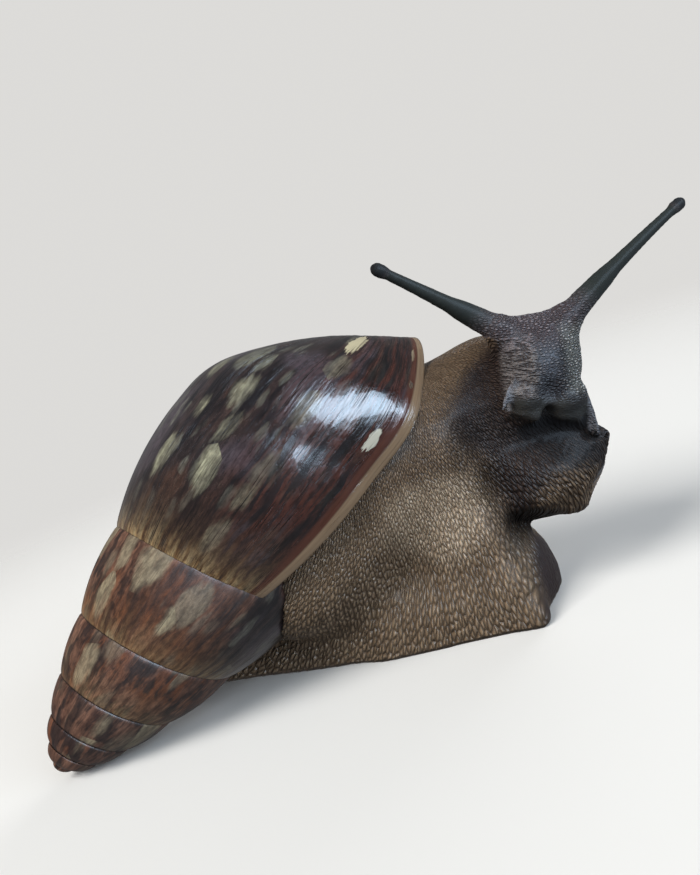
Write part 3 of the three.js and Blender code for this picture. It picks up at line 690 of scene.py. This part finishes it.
settled = held.evaluated_get(bpy.context.evaluated_depsgraph_get())
flesh_mesh = bpy.data.meshes.new_from_object(settled)
held.modifiers.clear()
bpy.data.objects.remove(held)

count = len(flesh_mesh.vertices)
skin_at = np.empty(count * 3)
flesh_mesh.vertices.foreach_get("co", skin_at)
skin_at = skin_at.reshape(-1, 3)
ends = np.empty(len(flesh_mesh.edges) * 2, dtype=np.int64)
flesh_mesh.edges.foreach_get("vertices", ends)
ends = ends.reshape(-1, 2)
links = np.bincount(ends.ravel(), minlength=count)


def neighbours(values):
    """The mean of each place's neighbours."""
    total = np.empty_like(values)
    for k in range(values.shape[1]):
        total[:, k] = (np.bincount(ends[:, 0], values[ends[:, 1], k], count)
                       + np.bincount(ends[:, 1], values[ends[:, 0], k], count))
    return total / links[:, None]


def smoothed(points, rounds, amount):
    """Even out a surface without drawing it in."""
    for _ in range(rounds):
        points = points + (neighbours(points) - points) * (0.5 * amount)
        points = points - (neighbours(points) - points) * (0.51 * amount)
    return points


# All of it is evened out a little, the tentacles more and the body most, and the face keeps its
# shape. The thin ends then lose what the fill gave them.
on_tentacle = within(skin_at, TENTACLES, MM)
head_side = rise_between(past_head(skin_at, (0.68, -0.43, 0.6)), -8, 2)
head_side *= rise_between(-np.linalg.norm(skin_at - np.array(HEAD_CENTRE), axis=1) / MM, -24, -17)
soft = np.clip(1 - head_side * 0.8 - on_tentacle, 0.0, 1)[:, None]
skin_at = smoothed(skin_at, 12, 1.0)
skin_at = smoothed(skin_at, 30, on_tentacle[:, None])
flesh_mesh.vertices.foreach_set("co", skin_at.ravel())
flesh_mesh.update()
facing = np.empty(count * 3)
flesh_mesh.vertices.foreach_get("normal", facing)
thinned = within(skin_at, THIN_ENDS, MM)[:, None]
for _ in range(30):
    thinned = thinned + (neighbours(thinned) - thinned) * 0.5
for eye_middle, _, _ in eyes:
    thinned *= 1 - near(skin_at, eye_middle, 4)[:, None] ** 0.5
skin_at = skin_at - facing.reshape(-1, 3) * thinned * SEAM_FILL
skin_at = smoothed(skin_at, 60, soft)

# Each tentacle ends in a round bulb that holds the eye.
for _, out, bulb_middle in eyes:
    ball = np.array(bulb_middle)
    from_ball = skin_at - ball
    gone = np.linalg.norm(from_ball, axis=1)
    held_by = rise_between(from_ball @ np.array(out) / MM, -1.5, -0.3) * (gone < 3.2 * MM)
    skin_at = skin_at + (ball + from_ball / gone[:, None] * BULB_RADIUS - skin_at) * held_by[:, None]

# Soft dents and swellings, one after another: the middle, the radius and the push in millimetres,
# and for a drawn-out one the way and how many times longer. First the valley between each side of
# the foot and the throat, and the hollow under the throat.
pushes = []
for side in (-1, 1):
    pushes += [
        (on_body(57, 15 * side, 50), 8, (-1.0, -2.2 * side, 0), ((0.1, -0.1 * side, -1), 1.6)),
        (on_body(61, 13 * side, 37), 9, (-2.5, -3.5 * side, 0), ((0.1, -0.1 * side, -1), 1.3)),
        (on_body(64, 8 * side, 24), 11, (-4.5, -2.5 * side, 1))]
# The foot's sharp right corner, the hollow under the mouth, the underside of the lips, the cleft
# between their lobes, and the left cheek.
pushes += [
    (on_body(56, -20, 20), 9, (1.5, -2.0, 0), ((0.1, -0.2, -1), 2.2)),
    (on_body(58, -19, 2), 8, (2.6, -3.2, 0)),
    (on_head(0, -20, 3), 10, head_way(0, -1.5, -6), (head_way(1, 0, 0), 1.5)),
    (on_head(-7.5, -13.5, 5.5), 6, head_way(0, 2.6, -0.8)),
    (on_head(0, -15.5, 4), 5.5, head_way(0, 0.4, -2.4), (head_way(1, 0, 0), 1.8)),
    (on_head(-0.9, -12.4, 8.0), 3.0, head_way(0, 1.6, -3.6), (head_way(0, 1, 0), 1.6)),
    (on_head(9.5, 2, 3.5), 7, head_way(1.6, 0, 0), (head_way(0, 1, 0), 1.8))]
# The neck, drawn in behind the head.
for side in (-1, 1):
    pushes += [(on_body(63.6, 10.0 * side, 67.8), 7.0, (0.5, -2.0 * side, -0.4), ((-0.3, 0, 1), 1.2))]
# The groove down the nose, the left end of the mouth, and the folds of the throat under the mouth.
pushes += [
    (on_head(-0.3, -3.8, 10), 4.6, head_way(0, 0, -2.0), (head_way(0, 1, 0), 1.1)),
    (on_head(10, -19, 3), 7, head_way(0.8, 2.2, 1.2), (head_way(1, 0, 0), 1.4)),
    (on_body(79, -3, 26), 10, (-0.3, -0.4, -2.0)),
    (on_body(87, -1, 42), 9, (2.6, 1.2, 0.2)),
    (on_body(88.5, -2, 48), 9.5, (-0.6, 0.4, -5.6)),
    (on_body(83, -3, 28), 8, (-2.4, 0.6, 0.8))]
for centre, radius, by, *stretch in pushes:
    skin_at = skin_at + near(skin_at, centre, radius, *stretch)[:, None] * np.array(by) * MM

# The creases under the lips and at the root of the right tentacle are evened out, then all of it.
for centre, radius, rounds in ((on_body(71.5, -8.0, 47.2), 9, 90), (on_body(79, -8.5, 43), 8, 90),
                               (on_body(68.6, -12, 77.3), 4, 24)):
    calmed = near(skin_at, centre, radius)[:, None] ** 0.5
    for _ in range(rounds):
        skin_at = skin_at + (neighbours(skin_at) - skin_at) * 0.5 * calmed
skin_at = smoothed(skin_at, 4, soft * 0.5 + 0.3)
skin_at[:, 2] = np.maximum(skin_at[:, 2], 0.0)
flesh_mesh.vertices.foreach_set("co", skin_at.ravel())
flesh_mesh.update()


def stored(name, values):
    """Keep a number, or a vector, at each point of the flesh under a name."""
    values = np.asarray(values, dtype=np.float32)
    kind, field_name = ("FLOAT", "value") if values.ndim == 1 else ("FLOAT_VECTOR", "vector")
    flesh_mesh.attributes.new(name, kind, "POINT").data.foreach_set(field_name, values.ravel())


# The rows' own coordinates: turned round a line across the shell's mouth, and closed up with
# distance from it, so that the bumps are longer than wide and grow towards the foot.
x_at, y_at, z_at = (skin_at / MM).T
away_x = (skin_at[:, 0] - ROW_CENTRE.x) / MM
away_z = (skin_at[:, 2] - ROW_CENTRE.z) / MM
reach = np.hypot(away_x, away_z)
turned = np.arctan2(-away_x, away_z)
turned = np.where(turned > math.radians(40), turned - 2 * math.pi, turned)
sideways = np.clip(y_at / BACK_HALF, -1, 1)
sideways = (sideways - sideways ** 3 / 3) * BACK_HALF
row_number = (turned - np.abs(sideways) / (reach + 1)) * ROWS_PER_RADIAN
along_row = np.log(np.minimum(reach, EVEN_FROM) + 1)
along_row = along_row + np.maximum(reach - EVEN_FROM, 0) / (EVEN_FROM + 1)
along_row = along_row * BUMPS_PER_FOLD + row_number * 0.5
stored("rows", np.stack((row_number, along_row, np.zeros(count)), axis=1))
stored("reach", reach * MM)

# Where each part of the head begins and ends, in the head's own frame.
in_face = (skin_at - np.array(HEAD_CENTRE)) @ np.array(HEAD_AXES) / MM
across_face, up_face, out_of_face = in_face.T
stored("face", in_face * np.array(HEAD_BUMPS_PER_MM))
head_mask = rise_between(near(skin_at, on_head(0, 2, 2), 27), 0.10, 0.30)
head_mask *= rise_between(past_head(skin_at, (0.62, -0.62, 0.45)), -7, 0)
cheek_edge = np.where(across_face < 0, across_face, -across_face * 0.75) + np.maximum(up_face - 9, 0) * 2
head_mask = np.maximum(head_mask * rise_between(cheek_edge, -11.4, -9.8), on_tentacle)
stored("head", head_mask)
from_crown = np.linalg.norm(skin_at - np.array(on_head(0, 2, 0)), axis=1) / MM
stored("stalk", rise_between(from_crown, 13, 25) * head_mask * rise_between(up_face, 4, 8))
eye_ring = np.maximum(*(near(skin_at, eye_middle, 4.5) for eye_middle, _, _ in eyes))
stored("eye_ring", rise_between(eye_ring, 0.0, 0.5))
feelers = within(skin_at, ("feeler_right", "feeler_left"), 0.6 * MM)
feelers *= rise_between(np.abs(across_face), 9.8, 10.8)
stored("feeler", feelers)
# The mouth, black: partly the mouth's own dark and partly painted shade in the gap under the lips, with more
# painted shade at the mouth's left end and on the chin's shelf below it.
mouth = rise_between(near(skin_at, on_head(2.0, -15.8, 3.5), 6.5, (head_way(1, 0.1, 0), 2.3)), 0.10, 0.45)
gape_shade = rise_between(near(skin_at, on_head(10.2, -14.8, 6.6), 3.4), 0.1, 0.5) * (1 - feelers)
shelf_shade = near(skin_at, on_body(71, -7.8, 47.4), 5, ((0.93, 0.36, 0), 1.8))
stored("mouth", np.maximum(mouth, np.maximum(gape_shade, rise_between(shelf_shade, 0.0, 0.7) * 0.7)))
lips = rise_between(-(up_face + across_face * 0.14), 5.6, 7.2) * rise_between(out_of_face, 2, 5)
stored("lips", lips * rise_between(-np.abs(across_face), -12, -9.5))
# Painted shade in a dip in the middle of the face above the lips, and in a smaller one to its left.
nose_side_shade = near(skin_at, on_head(6, -7.5, 8), 4.4, (head_way(1, -0.2, 0), 1.4)) * 0.8
nose_shade = np.maximum(near(skin_at, on_head(0, -4.5, 9.5), 5.2), nose_side_shade)
stored("nose_shade", rise_between(nose_shade, 0.05, 0.8))
ridged = rise_between(-across_face, 1.5, 5.0)
stored("ridged", ridged * rise_between(-np.abs(up_face - 2.0), -10.5, -6.5))
middle = rise_between(-np.abs(across_face + 0.3), -4.0, -1.2)
stored("middle", middle * rise_between(-up_face, -9, -4))
# Painted shade in the cleft between the lip lobes.
cleft_shade = near(skin_at, on_head(-0.9, -12.8, 7), 2.6, (head_way(0, 1, 0), 1.5))
stored("cleft_shade", rise_between(cleft_shade, 0.1, 0.6))
# Painted highlights: the left cheek is made pale, as if its wet bumps caught the light.
painted_cheek_sheen = rise_between(across_face, 3.0, 7.0) * rise_between(-up_face, -13, -8)
stored("painted_cheek_sheen", painted_cheek_sheen * rise_between(up_face, -8, -5))
stored("brow", rise_between(up_face, 4, 10))

# Where each part of the body begins and ends, most of them alike on the right and the left.
either_side = np.stack((skin_at[:, 0], -np.abs(skin_at[:, 1]), skin_at[:, 2]), axis=1)
# The throat's darker skin, deepened by painted shade under the head: it covers the body's front back to a
# curved line, fades out low down and is weaker on the far side.
over_chin = z_at - 58
throat_edge = np.where(over_chin < 0, 0.045, 0.055) * over_chin ** 2
throat_edge = 46.5 + np.minimum(throat_edge, np.where(over_chin < 0, 6, 30))
throat = rise_between(x_at - throat_edge, 0, 10)
throat *= rise_between(z_at, 15, 27) * (1 - rise_between(y_at, 0, 14) * 0.6)
# Painted light lifts the lowest part of the throat out of that shade.
lit_below = rise_between(near(either_side, on_body(76, -8, 29), 15), 0, 0.5)
stored("throat", throat * (1 - lit_below * 0.85))
# Painted shade in the gap under the lips.
stored("under_lip_shade", rise_between(near(either_side, on_body(80, -7, 45), 14), 0.0, 0.6))
# Painted light: a pool of light on the crest of each side of the foot, kept below the neck.
painted_crest_light = rise_between(near(either_side, on_body(41, -20.5, 37), 22), 0.05, 0.7)
stored("painted_crest_light", painted_crest_light * rise_between(-z_at, -51, -43))
stored("front", rise_between(x_at, 59, 62) * rise_between(-z_at, -26, -19))
stored("flank", rise_between(-z_at - (x_at - 40) * 0.45, -56, -26))
stored("sole", rise_between(-z_at, -1.0, -0.2))
# Painted shade in the valley between each side of the foot and the throat, and in the hollow under the throat.
valley_shade = near(either_side, on_body(60, -12, 40), 7, ((0.1, 0.1, -1), 1.8)) * 0.45
painted_hollow_shade = np.maximum(near(either_side, on_body(64, -6, 26), 13), valley_shade)
stored("painted_hollow_shade", rise_between(painted_hollow_shade, 0.05, 0.75))

skin_tree, skin_shape, size = geometry_tree("skin_bumps", SKIN_BUMPS)


def pebbles(tree, vector, order, flat):
    """Rounded bumps: 1 on top of each, falling to 0 in a narrow furrow beside it."""
    cells, edges = (add(tree, "ShaderNodeTexVoronoi", {"Vector": vector, "Scale": 1.0, "Randomness": order},
                        feature=feature, voronoi_dimensions="2D" if flat else "3D")
                    for feature in ("F1", "DISTANCE_TO_EDGE"))
    away = Value(tree, cells.outputs["Distance"])
    furrow = Value(tree, edges.outputs["Distance"]).ramp(-0.04, 0.30, smooth=False)
    return (1 - (away * away * 1.3).work("MINIMUM", 1.0)) * furrow


def pebble_tone(tree, vector, order, flat):
    """A number of its own for each bump."""
    cells = add(tree, "ShaderNodeTexVoronoi", {"Vector": vector, "Scale": 1.0, "Randomness": order},
                voronoi_dimensions="2D" if flat else "3D")
    return Value(tree, add(tree, "ShaderNodeSeparateColor", {0: cells.outputs["Color"]}).outputs[0])


def wrinkles(tree, rows):
    """Fine folds that run along the rows, across several bumps."""
    stretched = add(tree, "ShaderNodeVectorMath", {0: rows, 1: (0.9, 0.13, 0.9)}, operation="MULTIPLY")
    return noise(tree, stretched.outputs[0], 1.0, 2.0, 0.55)


rows_field = field(skin_tree, "rows", "FLOAT_VECTOR")
row_cells = pebbles(skin_tree, rows_field, ROW_ORDER, True)
coarse = field(skin_tree, "reach").ramp(size["Coarse From"], size["Coarse To"])
head_cells = pebbles(skin_tree, field(skin_tree, "face", "FLOAT_VECTOR"), HEAD_ORDER, False)
on_the_head = field(skin_tree, "head")
folds = wrinkles(skin_tree, rows_field).ramp(0.3, 0.7)
row_lift = (row_cells * 0.7 + folds * 0.5 - 0.6) * size["Row Bump"] * coarse
row_lift = row_lift * (1 - on_the_head) * (1 - field(skin_tree, "front") * 0.8)
head_lift = (head_cells - 0.5) * size["Head Bump"] * on_the_head * (1 - field(skin_tree, "lips") * 0.8)
_, _, level = position_of(skin_tree)
lift = (row_lift + head_lift) * level.ramp(0.3 * MM, 2 * MM) * (1 - field(skin_tree, "stalk"))
push = add(skin_tree, "ShaderNodeVectorMath", {
    0: add(skin_tree, "GeometryNodeInputNormal").outputs[0]}, operation="SCALE")
put(skin_tree, push.inputs["Scale"], lift)
skin_shape = add(skin_tree, "GeometryNodeSetPosition", {
    "Geometry": skin_shape, "Offset": push.outputs[0]}).outputs[0]

skin_stuff = bpy.data.materials.new("skin")
skin_stuff.use_nodes = True
tree = skin_stuff.node_tree
shader = tree.nodes["Principled BSDF"]
at = {name: attribute(tree, name) for name in (
    "head", "stalk", "lips", "throat", "front", "flank", "painted_crest_light", "painted_hollow_shade", "under_lip_shade", "ridged", "brow",
    "middle", "painted_cheek_sheen", "eye_ring", "cleft_shade", "nose_shade", "feeler", "sole", "mouth", "reach")}
rows_at = add(tree, "ShaderNodeAttribute", attribute_name="rows").outputs["Vector"]
face_at = add(tree, "ShaderNodeAttribute", attribute_name="face").outputs["Vector"]
object_at = add(tree, "ShaderNodeTexCoord").outputs["Object"]
row_cells = pebbles(tree, rows_at, ROW_ORDER, True)
row_tone = pebble_tone(tree, rows_at, ROW_ORDER, True)
head_cells = pebbles(tree, face_at, HEAD_ORDER, False)
head_tone = pebble_tone(tree, face_at, HEAD_ORDER, False)
mottle = noise(tree, object_at, 120.0, 3.0, 0.6)
folds = wrinkles(tree, rows_at)
fold_tops = folds.ramp(0.34, 0.62)
tops = row_cells.ramp(0.0, 0.8) * (0.55 + fold_tops * 0.45) + mottle * 0.3 - 0.12
tops = tops.ramp(0.0, 0.95, smooth=False)

# The body: pale bumps in dark furrows. Painted light makes the crest of each side palest, and the throat is
# darkest, its darker skin deepened by painted shade.
shade = row_tone * 0.35 + mottle * 0.6 + fold_tops * 0.15
body_top = mixed(tree, shade, (0.135, 0.088, 0.052), (0.33, 0.230, 0.148))
foot_top = mixed(tree, shade, (0.172, 0.115, 0.072), (0.385, 0.278, 0.182))
painted_crest_light_top = mixed(tree, shade, (0.39, 0.295, 0.203), (0.69, 0.550, 0.405))
throat_top = mixed(tree, shade, (0.026, 0.018, 0.016), (0.074, 0.051, 0.041))
body_top = mixed(tree, at["flank"], body_top, foot_top)
body_top = mixed(tree, at["painted_crest_light"], body_top, painted_crest_light_top)
body_top = mixed(tree, at["throat"], body_top, throat_top)
body_low = mixed(tree, at["flank"], (0.055, 0.035, 0.022), (0.120, 0.082, 0.053))
body_low = mixed(tree, at["painted_crest_light"] * 0.7, body_low, (0.27, 0.195, 0.130))
body_low = mixed(tree, at["throat"], body_low, (0.020, 0.013, 0.012))
skin_colour = mixed(tree, tops, body_low, body_top)
front_colour = mixed(tree, mottle, (0.020, 0.012, 0.012), (0.045, 0.029, 0.028))
skin_colour = mixed(tree, at["front"], skin_colour, front_colour)
# Painted shade: near black in the valleys and the hollow.
skin_colour = mixed(tree, at["painted_hollow_shade"] * 0.9, skin_colour, (0.012, 0.008, 0.007))
# Painted shade under the lips, a little lighter on the tops of the bumps.
skin_colour = mixed(tree, at["under_lip_shade"] * (0.85 - tops * 0.35), skin_colour, (0.010, 0.007, 0.006))
sole_colour = mixed(tree, mottle, (0.075, 0.056, 0.044), (0.17, 0.13, 0.10))
skin_colour = mixed(tree, at["sole"], skin_colour, sole_colour)

# The head: grey, browner and ridged on its right, bluer down the middle, and made pale on its left cheek by
# painted highlights.
face_split = add(tree, "ShaderNodeSeparateXYZ", {0: face_at})
face_x, face_y = Value(tree, face_split.outputs[0]), Value(tree, face_split.outputs[1])
ridges = noise(tree, joined(tree, face_x * 0.5, face_y * 0.85 + mottle * 0.5, 1.0), 1.0, 2.0, 0.5)
head_relief = head_cells * (1 - at["ridged"] * 0.6) + ridges.ramp(0.35, 0.65) * at["ridged"] * 0.7
brow_top = mixed(tree, mottle, (0.135, 0.095, 0.102), (0.29, 0.235, 0.26))
painted_cheek_sheen_top = mixed(tree, head_tone, (0.40, 0.40, 0.37), (0.85, 0.85, 0.82))
head_top = mixed(tree, head_tone * 0.6 + mottle * 0.5, (0.085, 0.078, 0.082), (0.27, 0.25, 0.25))
head_top = mixed(tree, at["ridged"] * 0.7, head_top, (0.190, 0.166, 0.158))
head_top = mixed(tree, at["brow"] * 0.6, head_top, brow_top)
head_top = mixed(tree, at["middle"] * 0.7, head_top, (0.120, 0.126, 0.150))
head_top = mixed(tree, at["painted_cheek_sheen"] * 0.8, head_top, painted_cheek_sheen_top)
head_low = mixed(tree, at["brow"], (0.030, 0.030, 0.037), (0.058, 0.042, 0.046))
head_low = mixed(tree, at["ridged"], head_low, (0.052, 0.042, 0.041))
head_low = mixed(tree, at["middle"] * 0.7, head_low, (0.070, 0.074, 0.092))
head_low = mixed(tree, at["painted_cheek_sheen"] * 0.8, head_low, (0.155, 0.157, 0.145))
head_colour = mixed(tree, head_relief.ramp(0.1, 0.9), head_low, head_top)
lip_colour = mixed(tree, mottle, (0.022, 0.021, 0.019), (0.042, 0.040, 0.036))
stalk_colour = mixed(tree, mottle, (0.011, 0.013, 0.011), (0.026, 0.030, 0.025))
feeler_colour = mixed(tree, mottle, (0.10, 0.105, 0.13), (0.26, 0.265, 0.29))
head_colour = mixed(tree, at["lips"], head_colour, lip_colour)
head_colour = mixed(tree, at["eye_ring"], head_colour, (0.012, 0.012, 0.012))
head_colour = mixed(tree, at["stalk"] * (1 - at["eye_ring"]), head_colour, stalk_colour)
head_colour = mixed(tree, at["cleft_shade"], head_colour, (0.010, 0.008, 0.008))
head_colour = mixed(tree, at["nose_shade"] * 0.85, head_colour, (0.022, 0.019, 0.022))
head_colour = mixed(tree, at["feeler"], head_colour, feeler_colour)
skin_colour = mixed(tree, at["head"], skin_colour, head_colour)
# Painted shade, black, in the mouth and the gap under the lips.
skin_colour = mixed(tree, at["mouth"], skin_colour, (0.007, 0.005, 0.005))
put(tree, shader.inputs["Base Color"], skin_colour)

# Moist all over, and duller in the mouth, under the lips and on the tentacles.
dull = 0.34 + mottle * 0.2 + at["throat"] * 0.12 + at["under_lip_shade"] * 0.40
dull = dull + (at["mouth"] + at["stalk"]).work("MINIMUM", 1.0) * 0.4
put(tree, shader.inputs["Roughness"], dull)
shader.inputs["Subsurface Weight"].default_value = 0.06
shader.inputs["Subsurface Radius"].default_value = (1.0, 0.5, 0.25)
shader.inputs["Subsurface Scale"].default_value = 1.5 * MM
shader.inputs["Specular IOR Level"].default_value = 0.24
shader.inputs["Coat Weight"].default_value = 0.06
shader.inputs["Coat Roughness"].default_value = 0.25
fine = noise(tree, object_at, 1800.0, 3.0, 0.6) * (1 - at["stalk"])
row_height = (row_cells * 0.8 + folds.ramp(0.3, 0.7) * 0.6) * (1 - at["head"]) * (1 - at["front"] * 0.8)
head_height = head_relief * at["head"] * (1 - at["middle"] * 0.4) * (1 - at["lips"] * 0.9) * (1 - at["stalk"])
cell_height = (row_height * (1 - at["sole"]) + head_height) * (1 - at["mouth"] * 0.6)
cell_height = cell_height * (at["reach"].ramp(0.02, 0.09) * 0.7 + 0.3)
cell_normal = bumped(tree, cell_height, CELL_BUMP, 1.0)
put(tree, shader.inputs["Normal"], bumped(tree, fine, FINE_BUMP, 0.5, cell_normal))

close_tree(skin_tree, skin_shape, skin_stuff)
skin = grown("skin_body", flesh_mesh, skin_tree, SKIN_BUMPS)
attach(skin, "root")
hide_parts(*FLESH)

# ---------------------------------------------------------------- eyes
# A small black eye in the end of each long tentacle, a smooth wet bead set into its bulb.
eye_stuff = plain_material("eye", (0.006, 0.006, 0.007), 0.12)
tree = eye_stuff.node_tree
shader = tree.nodes["Principled BSDF"]
shader.inputs["Coat Weight"].default_value = 1.0
film = noise(tree, add(tree, "ShaderNodeTexCoord").outputs["Object"], 900.0)
put(tree, shader.inputs["Roughness"], film * 0.1 + 0.06)
for side in ("right", "left"):
    low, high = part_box("eye_" + side)
    ball = bmesh.new()
    bmesh.ops.create_icosphere(ball, subdivisions=4, radius=(high - low).length / 2 / math.sqrt(3))
    bmesh.ops.translate(ball, vec=(low + high) / 2, verts=ball.verts)
    for face in ball.faces:
        face.smooth = True
    eye_mesh = bpy.data.meshes.new("eye_bead_" + side)
    ball.to_mesh(eye_mesh)
    ball.free()
    eye_mesh.materials.append(eye_stuff)
    eye = bpy.data.objects.new("eye_bead_" + side, eye_mesh)
    bpy.context.scene.collection.objects.link(eye)
    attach(eye, "root")
    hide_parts("eye_" + side)

bpy.context.scene.view_settings.view_transform = "Standard"
